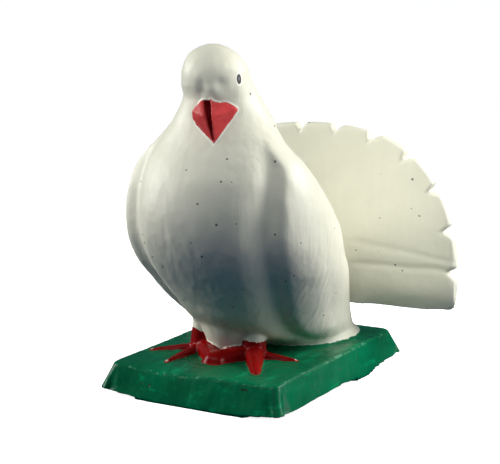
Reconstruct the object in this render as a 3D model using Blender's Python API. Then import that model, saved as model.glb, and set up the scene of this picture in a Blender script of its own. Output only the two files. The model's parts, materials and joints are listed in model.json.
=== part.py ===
"""A fantail pigeon figurine, cast in one piece with its slab.

Metres, +Z up. The origin is the middle of the slab's underside, and the bird looks along -Y.
The bird's forms are kept as percentages of its own height. The slab has its own sizes.
"""

import math

import bmesh
import bpy
import numpy as np
from mathutils import Matrix, Vector

# Driving sizes
BIRD_HEIGHT = 0.185        # from the slab's top to the crown of the head
SLAB_WIDTH = 0.122
SLAB_LENGTH = 0.166
SLAB_HEIGHT = 0.0185
SLAB_SLOPE = 0.006         # how far the top edge stands in from the bottom edge
SLAB_CORNER = 0.005        # radius of the upright corners
SLAB_EDGE = 0.0015         # rounding of the top edge
RIM_LIFT = 0.0035          # how high the lower corners stand off the table
RIM_WIDTH = 0.009          # how far in from the outline the underside is level
RIM_LOW_AT = 0.028         # where along the sides the lower edge comes down to the table again
RIM_LOW_HALF = 0.022       # half length of that stretch
RIM_LOW_SHARE = 0.85       # share of the lift that goes there
SAG_DEPTH = 0.0028         # how far the front top edge sags
SAG_AT = -0.020            # where it sags most, across the slab
SAG_HALF = 0.025           # half length of the sag
SAG_WIDTH = 0.018          # how far it reaches back on the top
SIDE_RISE = 0.002          # how far the top edge on the bird's left rises towards the front
SIDE_RISE_AT = -0.058
SIDE_RISE_HALF = 0.028
SIDE_FALL = 0.0018         # and how far it falls towards the rear
SIDE_FALL_FROM = 0.030
SIDE_WIDTH = 0.014         # how far both reach in on the top
SLAB_CUTS = (6, 8)         # cuts across and along that let the edges bend

# Turn of the head towards the bird's left, in degrees
HEAD_TURN = 22.0
HEAD_LEAN = -1.0           # how far the head stands to the side, in percent
TURN_STARTS, TURN_ENDS = 68.0, 84.0     # heights on the neck between which it turns, in percent

# How fine the faceted solid is
BODY_SIDES = 52
BODY_RINGS = 42
FEATHER_STEPS = 9
LIMB_SIDES, LIMB_RINGS = 12, 10
CORNER_STEPS, EDGE_STEPS = 4, 2
# Rings of the fan from its middle to its rim: share of the radius, share of the thickness
FAN_RINGS = ((0.0, 1.0), (0.5, 1.0), (0.94, 1.0), (0.985, 0.8), (1.0, 0.0))

PERCENT = BIRD_HEIGHT / 100

# Level sections of the body, from the slab up to the crown, in percent of the bird's height:
# height, foremost point, widest point, rearmost point (all along Y), half width, squareness behind,
# and how far the section stands to the bird's left
BODY_SECTIONS = (
    (-4.0, 19.0, 21.0, 23.0, 0.0, 2.0, 0.0),
    (0.0, 1.0, 21.6, 41.0, 23.4, 2.8, 0.0),
    (3.0, -6.0, 18.0, 39.4, 22.4, 2.8, 0.0),
    (7.0, -17.5, 12.0, 39.2, 22.6, 2.8, 0.0),
    (13.5, -26.4, 3.0, 39.0, 24.2, 2.6, 0.0),
    (19.3, -31.0, -3.6, 38.2, 26.6, 2.4, 0.0),
    (25.2, -35.8, -8.4, 35.8, 28.9, 2.2, 0.0),
    (31.0, -40.2, -13.4, 32.6, 30.9, 2.0, 0.0),
    (38.0, -44.2, -16.8, 28.4, 31.8, 2.0, 0.0),
    (44.5, -46.2, -18.0, 22.0, 31.6, 2.0, 0.0),
    (51.3, -46.6, -18.8, 12.6, 30.8, 2.0, 0.0),
    (58.9, -45.0, -20.2, 2.0, 28.6, 2.0, 0.0),
    (64.8, -41.8, -21.6, -5.4, 25.6, 2.0, 0.0),
    (70.7, -38.0, -23.0, -10.2, 20.6, 2.0, 0.3),
    (77.0, -35.0, -22.4, -10.8, 15.6, 2.0, 1.1),
    (83.2, -35.2, -23.0, -11.0, 12.1, 2.0, 1.2),
    (88.1, -36.8, -25.4, -13.6, 10.9, 2.0, 0.1),
    (93.0, -36.4, -26.8, -15.8, 9.9, 2.0, -0.4),
    (97.3, -33.2, -27.0, -19.4, 7.0, 2.0, -0.9),
    (100.0, -27.0, -27.0, -27.0, 0.0, 2.0, -0.8),
)

# Furrow in front of the wing: height in percent, angle round the section from straight ahead in
# degrees, and how far it spreads on to the wing in degrees
WING_EDGE = (
    (5.0, 53.0, 16.0),
    (11.0, 51.0, 15.0),
    (20.0, 50.0, 13.0),
    (33.0, 50.5, 12.0),
    (44.0, 51.5, 10.0),
    (55.0, 56.0, 9.0),
    (64.0, 63.0, 9.0),
)
WING_RISE = 2.0            # how far the wing stands proud of the breast, in percent
WING_START = -4.0          # where it starts to rise, in degrees from the furrow
WING_RAMP = 0.6            # spreads of the furrow over which it rises
WING_BACK = (66.0, 130.0)       # angles between which it fades towards the rump
FURROW_DEPTH = 2.0
FURROW_BEFORE = 14.0       # how far the furrow spreads on to the breast, in degrees
FURROW_AFTER = 0.4         # how far it spreads on to the wing, in spreads
FLANK_RISE = 0.5           # the low ridge that runs down the flank to the leg, in percent
FLANK_AHEAD = 20.0         # degrees in front of the furrow
FLANK_HALF = 9.0           # half width in degrees
FLANK_TOP = (40.0, 60.0)        # heights between which the ridge fades
WING_TOP = (60.0, 74.0)         # heights between which the wing fades into the shoulder
WING_FOOT = (1.0, 8.0)          # heights between which it starts above the slab

# Tail fan, in percent of the bird's height and in degrees
FEATHERS = 13
FAN_LOWEST = -13.6         # direction of the lowest corner, from level
FAN_CENTRE = (0.0, 43.2, 20.0)
FAN_NOTCH_RADIUS = 49.2
FAN_TIP_RADIUS = 52.8
FAN_FLATTENED = 0.05       # share by which the fan is lower than it is wide
FAN_SHOULDER = 0.06        # share by which it is fuller between its top and its sides
FAN_CORNER = 14            # the higher, the sharper its lower corners
FAN_LOW_EDGE = 7.8         # height of the level edge under the fan
FAN_RIM_HALF = 2.2         # half thickness at the rim
FAN_ROOT_HALF = 4.4        # half thickness near the middle of the low edge
FAN_ROOT_WIDE = 34.0       # how far that thickness spreads to the sides
FAN_ROOT_TALL = 30.0       # how far it spreads upwards
ROLL_TOP = 24.0            # height under which the front of the fan rounds under
ROLL_SHARE = 0.85          # share of its thickness that this takes off at the low edge
ROLL_SIDE = (16.0, 26.0)        # distances from the middle between which the rounding starts
TIP_RISE_SHARE = 0.28      # share of a feather over which its end rises from the notch
TIP_FALL_SHARE = 0.10      # share over which it falls to the next notch

# Beak: two facets and the groove's floor between them. Their corners are in the head's own directions:
# across, ahead of the neck's axis, height, in percent
NECK_AXIS = -23.0
BEAK_FORMS = {
    "left": (
        (-0.3, 12.6, 83.8),
        (0.4, 16.8, 79.0),
        (7.6, 11.2, 80.8),
        (4.6, 11.8, 82.6),
        (1.0, 16.0, 71.2),
        (0.9, 10.0, 71.0),
        (0.5, 5.0, 79.0),
    ),
    "right": (
        (-2.8, 12.3, 83.6),
        (-1.8, 15.7, 79.0),
        (-6.3, 11.8, 80.4),
        (-6.4, 11.6, 77.8),
        (-3.8, 12.0, 83.2),
        (0.8, 15.3, 71.5),
        (0.5, 10.2, 71.2),
        (0.1, 5.3, 78.7),
    ),
    "middle": (
        (-2.6, 10.6, 83.2),
        (-0.1, 10.7, 83.3),
        (-1.7, 13.2, 79.0),
        (0.2, 13.4, 79.1),
        (0.8, 14.2, 72.2),
        (0.6, 9.8, 71.4),
        (0.3, 5.6, 78.9),
    ),
}

# Legs and toes, in percent: where each leg stands, the thigh's radius, and where its toes end, with the
# radius at their root and at their end
SHANK_RADIUS = 3.5
SHANK_FLARE = 1.2          # share by which a leg is thicker where it meets the foot
THIGH_FLARE = 1.1          # share by which the thigh is thicker there than the leg
SHANK_HEIGHT = 8.0
KNEE_OVERLAP = 1.2         # share of the leg's radius by which the thigh starts above the knee
THIGH_HEIGHT = 21.0
TOE_SUNK = 0.6             # height of a toe's root, as a share of its radius
LEGS = {
    "right": {
        "foot": (-12.0, -15.0),
        "thigh": 7.9,
        "toes": (((-26.3, -23.4), 1.7, 0.7), ((-14.1, -33.3), 2.0, 0.7), ((-0.2, -26.2), 3.0, 3.2)),
    },
    "left": {
        "foot": (7.6, -15.7),
        "thigh": 9.2,
        "toes": (((20.8, -12.1), 2.0, 0.7), ((17.4, -32.0), 3.4, 1.1), ((-1.4, -25.9), 2.9, 3.6)),
    },
}
LOBE = {"low": (-2.0, -12.2, 3.0), "low_radius": 8.3, "high": (-1.5, -12.0, 23.0), "high_radius": 17.0}

# Paints: colour, roughness
PAINTS = {
    "white_paint": ((0.80, 0.77, 0.70), 0.45),
    "red_paint": ((0.42, 0.03, 0.04), 0.30),
    "green_paint": ((0.01, 0.17, 0.09), 0.35),
}


def above_slab(percent):
    """Height above the floor of a level on the bird."""
    return SLAB_HEIGHT + percent * PERCENT


def start_empty_scene():
    for obj in list(bpy.data.objects):
        bpy.data.objects.remove(obj, do_unlink=True)


def new_collection(name):
    collection = bpy.data.collections.new(name)
    bpy.context.scene.collection.children.link(collection)
    return collection


def paint_material(name):
    """The paint of that name, made the first time it is asked for."""
    material = bpy.data.materials.get(name)
    if material is None:
        colour, roughness = PAINTS[name]
        material = bpy.data.materials.new(name)
        material.use_nodes = True
        shader = material.node_tree.nodes["Principled BSDF"]
        shader.inputs["Base Color"].default_value = (*colour, 1.0)
        shader.inputs["Roughness"].default_value = roughness
        shader.inputs["Metallic"].default_value = 0.0
        material.diffuse_color = (*colour, 1.0)
    return material


def object_from(bm, name, paint, collection):
    bmesh.ops.recalc_face_normals(bm, faces=bm.faces)
    mesh = bpy.data.meshes.new(name)
    mesh.materials.append(paint_material(paint))
    bm.to_mesh(mesh)
    bm.free()
    obj = bpy.data.objects.new(name, mesh)
    collection.objects.link(obj)
    return obj


def round_shading(obj):
    """Shade a round form smooth."""
    obj.data.shade_smooth()
    return obj


def smooth_between(low, high, value):
    share = min(1.0, max(0.0, (value - low) / (high - low)))
    return share * share * (3 - 2 * share)


def smooth_row(table, keys, key):
    """A row of the table at any key, on a smooth curve through its rows."""
    table = np.asarray(table, float)
    last = len(keys) - 1
    i = int(np.clip(np.searchsorted(keys, key) - 1, 0, last - 1))
    before, after = max(i - 1, 0), min(i + 2, last)
    step = keys[i + 1] - keys[i]
    t = (key - keys[i]) / step
    slope_in = (table[i + 1] - table[before]) / (keys[i + 1] - keys[before])
    slope_out = (table[after] - table[i]) / (keys[after] - keys[i])
    return (
        (2 * t**3 - 3 * t**2 + 1) * table[i]
        + (t**3 - 2 * t**2 + t) * step * slope_in
        + (3 * t**2 - 2 * t**3) * table[i + 1]
        + (t**3 - t**2) * step * slope_out
    )


def polar_key(height):
    """Evenly round from the lowest section, 0, to the crown, pi, so that both ends close like a ball."""
    low, high = BODY_SECTIONS[0][0], BODY_SECTIONS[-1][0]
    share = (height - low) / (high - low)
    return math.acos(1 - 2 * min(1.0, max(0.0, share)))


SECTION_KEYS = [polar_key(row[0]) for row in BODY_SECTIONS]
WING_HEIGHTS, WING_ANGLES, WING_SPREADS = zip(*WING_EDGE)


def wing_relief(height, angle):
    """How far the surface stands out, in percent, at a height and an angle from straight ahead."""
    beyond = angle - float(np.interp(height, WING_HEIGHTS, WING_ANGLES))
    spread = float(np.interp(height, WING_HEIGHTS, WING_SPREADS))
    raised = WING_RISE * smooth_between(WING_START, WING_RAMP * spread, beyond)
    raised *= 1 - smooth_between(*WING_BACK, angle)
    reach = FURROW_BEFORE if beyond < 0 else FURROW_AFTER * spread
    furrow = FURROW_DEPTH * math.exp(-((beyond / reach) ** 2))
    flank = FLANK_RISE * math.exp(-(((beyond + FLANK_AHEAD) / FLANK_HALF) ** 2))
    flank *= 1 - smooth_between(*FLANK_TOP, height)
    fade = (1 - smooth_between(*WING_TOP, height)) * smooth_between(*WING_FOOT, height)
    return (raised + flank - furrow) * fade


def turned(across, ahead, share):
    """Where a point beside and ahead of the neck's axis comes with a share of the head's turn."""
    angle = math.radians(HEAD_TURN * share)
    x = HEAD_LEAN * share + across * math.cos(angle) + ahead * math.sin(angle)
    return x, NECK_AXIS + across * math.sin(angle) - ahead * math.cos(angle)


def body_point(direction):
    """Where a point of the unit ball goes on the pigeon's body."""
    low, high = BODY_SECTIONS[0][0], BODY_SECTIONS[-1][0]
    height = low + (high - low) * (direction.z + 1) / 2
    row = smooth_row(BODY_SECTIONS, SECTION_KEYS, polar_key(height))
    front, middle, back, half_width, square, aside = row[1:]
    around = math.atan2(direction.x, -direction.y)
    across, along = math.sin(around), -math.cos(around)
    if along > 0:
        across = math.copysign(abs(across) ** (2 / square), across)
        along = abs(along) ** (2 / square)
    reach = (back - middle) if along > 0 else (middle - front)
    x, y = half_width * across, middle + reach * along
    out = Vector((x, y - middle))
    if out.length > 0:
        out.normalize()
        relief = wing_relief(height, abs(math.degrees(around)))
        x += out.x * relief
        y += out.y * relief
    x, y = turned(x + aside, NECK_AXIS - y, smooth_between(TURN_STARTS, TURN_ENDS, height))
    return Vector((x * PERCENT, y * PERCENT, above_slab(height)))


def make_body(collection):
    bm = bmesh.new()
    bmesh.ops.create_uvsphere(bm, u_segments=BODY_SIDES, v_segments=BODY_RINGS, radius=1)
    for vert in bm.verts:
        vert.co = body_point(vert.co)
    return round_shading(object_from(bm, "body", "white_paint", collection))


def fan_angles():
    """Directions round the fan, in degrees, with one on every notch and corner."""
    step = (180 - 2 * FAN_LOWEST) / FEATHERS
    rise = [TIP_RISE_SHARE * share for share in (0.0, 0.5, 1.0)]
    blunt = 1 - TIP_RISE_SHARE - TIP_FALL_SHARE
    flat = [TIP_RISE_SHARE + blunt * share for share in (0.25, 0.5, 0.75, 1.0)]
    shares = rise + flat + [1 - TIP_FALL_SHARE / 2]
    top = [180 - FAN_LOWEST - step * (feather + share) for feather in range(FEATHERS) for share in shares]
    under = np.linspace(FAN_LOWEST, -180 - FAN_LOWEST, 2 * FEATHER_STEPS, endpoint=False)
    return top + list(under)


def fan_radius(angle):
    """Distance from the fan's centre to its edge in a direction, in percent."""
    angle = (angle + 90) % 360 - 90
    sine = math.sin(math.radians(angle))
    bow = (1 - FAN_FLATTENED * sine**2) * (1 + FAN_SHOULDER * math.sin(math.radians(2 * angle)) ** 2)
    step = (180 - 2 * FAN_LOWEST) / FEATHERS
    share = ((180 - FAN_LOWEST - angle) / step) % 1.0
    rise = min(1.0, share / TIP_RISE_SHARE)
    fall = min(1.0, (1 - share) / TIP_FALL_SHARE)
    tip = min(math.sin(rise * math.pi / 2), math.sin(fall * math.pi / 2))
    if not FAN_LOWEST < angle < 180 - FAN_LOWEST:
        tip = 0.0
    edge = bow * (FAN_NOTCH_RADIUS + (FAN_TIP_RADIUS - FAN_NOTCH_RADIUS) * tip)
    if sine >= 0:
        return edge
    down = (FAN_LOW_EDGE - FAN_CENTRE[2]) / sine
    return (edge**-FAN_CORNER + down**-FAN_CORNER) ** (-1 / FAN_CORNER)


def make_fan(collection):
    """A ball pressed flat: one half is the fan's front, the other its back, and its rim is the edge."""
    angles = fan_angles()
    bm = bmesh.new()
    last = len(FAN_RINGS) - 1
    bmesh.ops.create_uvsphere(bm, u_segments=len(angles), v_segments=2 * last, radius=1)
    turn = 2 * math.pi / len(angles)
    for vert in bm.verts:
        index = round(math.atan2(vert.co.y, vert.co.x) / turn) % len(angles)
        angle = angles[-index]
        steps_from_rim = round(abs(math.asin(max(-1.0, min(1.0, vert.co.z)))) / (math.pi / 2) * last)
        share, thickness = FAN_RINGS[last - steps_from_rim]
        radius = share * fan_radius(angle)
        x = radius * math.cos(math.radians(angle))
        z = FAN_CENTRE[2] + radius * math.sin(math.radians(angle))
        root = math.exp(-((x / FAN_ROOT_WIDE) ** 2) - ((z - FAN_LOW_EDGE) / FAN_ROOT_TALL) ** 2)
        half = FAN_RIM_HALF + (FAN_ROOT_HALF - FAN_RIM_HALF) * root
        offset = math.copysign(half * thickness, vert.co.z)
        if offset < 0 and z < ROLL_TOP:
            under = ((ROLL_TOP - z) / (ROLL_TOP - FAN_LOW_EDGE)) ** 2
            offset *= 1 - ROLL_SHARE * under * smooth_between(*ROLL_SIDE, abs(x))
        vert.co = Vector((x * PERCENT, (FAN_CENTRE[1] + offset) * PERCENT, above_slab(z)))
    return round_shading(object_from(bm, "fan", "white_paint", collection))


def rim_height(x, y):
    """Height of the slab's lower edge: its corners stand off the table, as on a slab that warped a little."""
    dip = math.exp(-(((y - RIM_LOW_AT) / RIM_LOW_HALF) ** 2))
    return RIM_LIFT * (2 * abs(x) / SLAB_WIDTH) ** 2 * (1 - RIM_LOW_SHARE * dip)


def top_shift(x, y):
    """How far the slab's top edge rises or sags, along the front and along the bird's left."""
    front = smooth_between(-SLAB_LENGTH / 2 + SAG_WIDTH, -SLAB_LENGTH / 2, y)
    side = smooth_between(SLAB_WIDTH / 2 - SIDE_WIDTH, SLAB_WIDTH / 2, x)
    sag = SAG_DEPTH * math.exp(-(((x - SAG_AT) / SAG_HALF) ** 2))
    rise = SIDE_RISE * math.exp(-(((y - SIDE_RISE_AT) / SIDE_RISE_HALF) ** 2))
    fall = SIDE_FALL * smooth_between(SIDE_FALL_FROM, SLAB_LENGTH / 2, y)
    return side * (rise - fall) - front * sag


def cut_across(bm, axis, places):
    """Cuts through the whole slab at some places along an axis, so that it can bend there."""
    for place in places:
        point, normal = Vector(), Vector()
        point[axis], normal[axis] = place, 1.0
        everything = bm.verts[:] + bm.edges[:] + bm.faces[:]
        bmesh.ops.bisect_plane(bm, geom=everything, plane_co=point, plane_no=normal)


def make_slab(collection):
    bm = bmesh.new()
    bmesh.ops.create_cube(bm, size=1)
    for vert in bm.verts:
        inset = SLAB_SLOPE if vert.co.z > 0 else 0.0
        vert.co.x = math.copysign(SLAB_WIDTH / 2 - inset, vert.co.x)
        vert.co.y = math.copysign(SLAB_LENGTH / 2 - inset, vert.co.y)
        vert.co.z = SLAB_HEIGHT if vert.co.z > 0 else 0.0
    upright = [e for e in bm.edges if abs(e.verts[0].co.z - e.verts[1].co.z) > SLAB_HEIGHT / 2]
    bmesh.ops.bevel(bm, geom=upright, offset=SLAB_CORNER, offset_type="OFFSET", segments=CORNER_STEPS,
                    profile=0.5, affect="EDGES", material=-1)
    top = [e for e in bm.edges if all(v.co.z > SLAB_HEIGHT - 1e-6 for v in e.verts)]
    bmesh.ops.bevel(bm, geom=top, offset=SLAB_EDGE, offset_type="OFFSET", segments=EDGE_STEPS,
                    profile=0.5, affect="EDGES", material=-1)
    under = [f for f in bm.faces if f.calc_center_median().z < 1e-6]
    bmesh.ops.inset_region(bm, faces=under, thickness=RIM_WIDTH, use_even_offset=True)
    for axis, length, cuts in ((0, SLAB_WIDTH, SLAB_CUTS[0]), (1, SLAB_LENGTH, SLAB_CUTS[1])):
        cut_across(bm, axis, [length * ((i + 1) / (cuts + 1) - 0.5) for i in range(cuts)])
    edge_x, edge_y = SLAB_WIDTH / 2 - RIM_WIDTH, SLAB_LENGTH / 2 - RIM_WIDTH
    for vert in bm.verts:
        x, y, z = vert.co
        if z > SLAB_HEIGHT / 2:
            vert.co.z += top_shift(x, y)
        elif abs(x) > edge_x + 1e-5 or abs(y) > edge_y + 1e-5:
            vert.co.z = rim_height(x, y)
    bmesh.ops.triangulate(bm, faces=bm.faces)
    return object_from(bm, "pigeon_figurine", "green_paint", collection)


def head_place(across, ahead, height):
    """A point given in the turned head's own directions."""
    x, y = turned(across, ahead, 1.0)
    return Vector((x * PERCENT, y * PERCENT, above_slab(height)))


def make_beak(name, corners, collection):
    bm = bmesh.new()
    for corner in corners:
        bm.verts.new(head_place(*corner))
    bmesh.ops.convex_hull(bm, input=bm.verts)
    return object_from(bm, "beak_" + name, "red_paint", collection)


def make_spindle(name, start, end, start_radius, end_radius, paint, collection):
    """A tapered round rod with ball ends between two points, in metres."""
    axis = end - start
    bm = bmesh.new()
    bmesh.ops.create_uvsphere(bm, u_segments=LIMB_SIDES, v_segments=LIMB_RINGS, radius=1)
    for vert in bm.verts:
        side = 1.0 if vert.co.z > 0 else 0.0
        radius = end_radius if vert.co.z > 0 else start_radius
        vert.co = vert.co * radius + Vector((0, 0, side * axis.length))
    turn = axis.to_track_quat("Z", "Y").to_matrix().to_4x4()
    bmesh.ops.transform(bm, matrix=Matrix.Translation(start) @ turn, verts=bm.verts)
    return round_shading(object_from(bm, name, paint, collection))


def make_leg(name, leg, collection):
    x, y = leg["foot"]
    foot = Vector((x * PERCENT, y * PERCENT, SLAB_HEIGHT))
    knee = foot + Vector((0, 0, SHANK_HEIGHT * PERCENT))
    hip = foot + Vector((0, 0, THIGH_HEIGHT * PERCENT))
    radius = SHANK_RADIUS * PERCENT
    made = [
        make_spindle(name + "_shank", foot, knee, radius * SHANK_FLARE, radius, "red_paint", collection),
        make_spindle(name + "_thigh", knee + Vector((0, 0, radius * KNEE_OVERLAP)), hip,
                     radius * THIGH_FLARE, leg["thigh"] * PERCENT, "white_paint", collection),
    ]
    for number, (tip, thick, thin) in enumerate(leg["toes"]):
        start = foot + Vector((0, 0, thick * PERCENT * TOE_SUNK))
        end = Vector((tip[0] * PERCENT, tip[1] * PERCENT, SLAB_HEIGHT))
        made.append(make_spindle(f"{name}_toe_{number}", start, end, thick * PERCENT,
                                 thin * PERCENT, "red_paint", collection))
    return made


def make_lobe(collection):
    """The foot of the belly, which comes down to the slab between the legs."""
    ends = [Vector((x * PERCENT, y * PERCENT, above_slab(z))) for x, y, z in (LOBE["low"], LOBE["high"])]
    return make_spindle("lobe", *ends, LOBE["low_radius"] * PERCENT, LOBE["high_radius"] * PERCENT,
                        "white_paint", collection)


def join_all(base, others):
    """One solid from overlapping ones."""
    for other in others:
        union = base.modifiers.new("join " + other.name, "BOOLEAN")
        union.operation = "UNION"
        union.solver = "EXACT"
        union.material_mode = "TRANSFER"
        union.object = other
        other.hide_render = True
        other.display_type = "WIRE"


def make_figurine():
    parts = new_collection("pigeon_figurine")
    helpers = new_collection("joined_shapes")
    slab = make_slab(parts)
    shapes = [make_body(helpers), make_lobe(helpers), make_fan(helpers)]
    for part, corners in BEAK_FORMS.items():
        shapes.append(make_beak(part, corners, helpers))
    for side, leg in LEGS.items():
        shapes += make_leg(side, leg, helpers)
    join_all(slab, shapes)
    return slab


def main():
    start_empty_scene()
    make_figurine()


main()
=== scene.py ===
# %% [markdown]
# # A painted ceramic fantail pigeon
# The real object is one casting: a plump pigeon with a raised tail fan, its feet and the slab under
# them. It was poured in a mould, then painted by hand: satin off-white, glossy red for beak and
# feet, glossy green for the slab. We load the measured solid first, and dress it with a finer mesh
# of the same shapes.

# %% Load the solid
import json
import math

import bmesh
import bpy
import numpy as np
from mathutils import Matrix, Vector, noise
from mathutils.bvhtree import BVHTree

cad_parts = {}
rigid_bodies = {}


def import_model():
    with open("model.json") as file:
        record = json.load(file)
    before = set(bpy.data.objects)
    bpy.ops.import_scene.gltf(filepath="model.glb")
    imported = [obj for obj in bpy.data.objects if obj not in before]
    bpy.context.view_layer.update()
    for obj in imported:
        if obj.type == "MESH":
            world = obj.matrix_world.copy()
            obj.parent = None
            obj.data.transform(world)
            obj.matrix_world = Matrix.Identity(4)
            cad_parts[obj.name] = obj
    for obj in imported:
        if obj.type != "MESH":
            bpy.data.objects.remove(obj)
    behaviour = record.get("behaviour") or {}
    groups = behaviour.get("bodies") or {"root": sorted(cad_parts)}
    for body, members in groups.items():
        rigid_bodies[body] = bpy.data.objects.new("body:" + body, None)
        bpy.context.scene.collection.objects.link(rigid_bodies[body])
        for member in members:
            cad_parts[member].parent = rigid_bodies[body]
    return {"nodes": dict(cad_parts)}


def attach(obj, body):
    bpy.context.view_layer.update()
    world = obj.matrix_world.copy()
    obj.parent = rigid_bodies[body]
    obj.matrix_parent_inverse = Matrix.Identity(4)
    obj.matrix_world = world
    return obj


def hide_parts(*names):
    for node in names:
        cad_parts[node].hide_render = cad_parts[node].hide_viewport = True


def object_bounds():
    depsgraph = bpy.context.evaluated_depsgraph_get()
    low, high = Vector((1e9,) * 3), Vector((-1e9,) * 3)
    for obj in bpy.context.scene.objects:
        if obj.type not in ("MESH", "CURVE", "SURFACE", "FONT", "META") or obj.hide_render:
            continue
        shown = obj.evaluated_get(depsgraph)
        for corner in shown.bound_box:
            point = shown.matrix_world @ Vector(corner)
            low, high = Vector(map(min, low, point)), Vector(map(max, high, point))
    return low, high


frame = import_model()
cad_low, cad_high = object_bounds()
MM = 0.001


def in_mm(length):
    return round(length / MM, 1)


print(len(frame["nodes"]), "solid, which spans", [in_mm(v) for v in cad_high - cad_low], "mm")

# %% [markdown]
# ## Sizes
# The slab has its own sizes in metres. Every form of the bird is a percentage of the bird's height,
# so the whole figure keeps its proportions. The rows below are level sections through the body:
# height, foremost point, widest point and rearmost point along Y, half width, how square the rear
# of the section is, and how far it stands to the bird's left.

# %% Sizes of the slab and the bird
SLAB_WIDTH, SLAB_LENGTH, SLAB_HEIGHT = 0.122, 0.166, 0.0185
PERCENT = 0.185 / 100
BODY_SECTIONS = (
    (-4.0, 19.0, 21.0, 23.0, 0.0, 2.0, 0.0),
    (0.0, 1.0, 21.6, 41.0, 23.4, 2.8, 0.0),
    (3.0, -6.0, 18.0, 39.4, 22.4, 2.8, 0.0),
    (7.0, -17.5, 12.0, 39.2, 22.6, 2.8, 0.0),
    (13.5, -26.4, 3.0, 39.0, 24.2, 2.6, 0.0),
    (19.3, -31.0, -3.6, 38.2, 26.6, 2.4, 0.0),
    (25.2, -35.8, -8.4, 35.8, 28.9, 2.2, 0.0),
    (31.0, -40.2, -13.4, 32.6, 30.9, 2.0, 0.0),
    (38.0, -44.2, -16.8, 28.4, 31.8, 2.0, 0.0),
    (44.5, -46.2, -18.0, 22.0, 31.6, 2.0, 0.0),
    (51.3, -46.6, -18.8, 12.6, 30.8, 2.0, 0.0),
    (58.9, -45.0, -20.2, 2.0, 28.6, 2.0, 0.0),
    (64.8, -41.8, -21.6, -5.4, 25.6, 2.0, 0.0),
    (70.7, -38.0, -23.0, -10.2, 20.6, 2.0, 0.3),
    (77.0, -35.0, -22.4, -10.8, 15.6, 2.0, 1.1),
    (83.2, -35.2, -23.0, -11.0, 12.1, 2.0, 1.2),
    (88.1, -36.8, -25.4, -13.6, 10.9, 2.0, 0.1),
    (93.0, -36.4, -26.8, -15.8, 9.9, 2.0, -0.4),
    (97.3, -33.2, -27.0, -19.4, 7.0, 2.0, -0.9),
    (100.0, -27.0, -27.0, -27.0, 0.0, 2.0, -0.8),
)
LOWEST, CROWN = BODY_SECTIONS[0][0], BODY_SECTIONS[-1][0]


def level(percent):
    """Height above the floor of a level on the bird."""
    return SLAB_HEIGHT + percent * PERCENT


def bird_place(x, y, height):
    """A point on the bird, given in percent."""
    return Vector((x * PERCENT, y * PERCENT, level(height)))


print("crown of the head at", in_mm(level(CROWN)), "mm")

# %% [markdown]
# ## A smooth path through a few rows
# A sculptor checks a model against a few card templates and lets the clay flow between them. These
# helpers do the same: one runs a smooth curve through the rows of a table. The rows are spaced like
# the rings of a ball, so the body closes round at both ends. The other two make a soft step and a
# soft mound, which shape everything that swells or sinks in a little.

# %% Helpers for smooth shapes
def blend_step(low, high, value):
    """0 up to low, 1 from high on, and a soft rise between them."""
    share = min(1.0, max(0.0, (value - low) / (high - low)))
    return share * share * (3 - 2 * share)


def mound(value, centre, half):
    """1 at the centre, falling softly to almost nothing at twice the half width."""
    return math.exp(-(((value - centre) / half) ** 2))


def ball_key(height):
    """The angle from the lowest point at which a ball of the bird's height has this height."""
    share = min(1.0, max(0.0, (height - LOWEST) / (CROWN - LOWEST)))
    return math.acos(1 - 2 * share)


def smooth_row(table, keys, key):
    """The row of a table at a key, on a smooth curve through its neighbours."""
    last = len(keys) - 1
    i = int(np.clip(np.searchsorted(keys, key) - 1, 0, last - 1))
    before, after = max(i - 1, 0), min(i + 2, last)
    step = keys[i + 1] - keys[i]
    t = (key - keys[i]) / step
    slope_in = (table[i + 1] - table[before]) / (keys[i + 1] - keys[before])
    slope_out = (table[after] - table[i]) / (keys[after] - keys[i])
    start = (2 * t**3 - 3 * t**2 + 1) * table[i] + (t**3 - 2 * t**2 + t) * step * slope_in
    return start + (3 * t**2 - 2 * t**3) * table[i + 1] + (t**3 - t**2) * step * slope_out


SECTION_TABLE = np.asarray(BODY_SECTIONS, float)
SECTION_KEYS = [ball_key(row[0]) for row in BODY_SECTIONS]
print(len(SECTION_KEYS), "sections from slab to crown")

# %% [markdown]
# ## Wings and the turn of the head
# The folded wings stand a little proud of the breast, with a furrow along their front edge that
# runs from the shoulder down to the slab, and a low ridge on the flank ahead of it. The rows give
# the furrow's height, its angle from straight ahead and the wing's spread, in degrees. The head
# looks a little to the bird's left, so the upper sections are turned round the neck's axis, more
# and more towards the top.

# %% Wing relief
WING_EDGE = (
    (5.0, 53.0, 16.0),
    (11.0, 51.0, 15.0),
    (20.0, 50.0, 13.0),
    (33.0, 50.5, 12.0),
    (44.0, 51.5, 10.0),
    (55.0, 56.0, 9.0),
    (64.0, 63.0, 9.0),
)
WING_HEIGHTS, WING_ANGLES, WING_SPREADS = zip(*WING_EDGE)
WING_RISE, WING_START, WING_RAMP = 2.0, -4.0, 0.6
WING_BACK = (66.0, 130.0)
FURROW_DEPTH, FURROW_BEFORE, FURROW_AFTER = 2.0, 14.0, 0.4
FLANK_RISE, FLANK_AHEAD, FLANK_HALF = 0.5, 20.0, 9.0
FLANK_TOP, RELIEF_TOP, RELIEF_FOOT = (40.0, 60.0), (60.0, 74.0), (1.0, 8.0)


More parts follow.
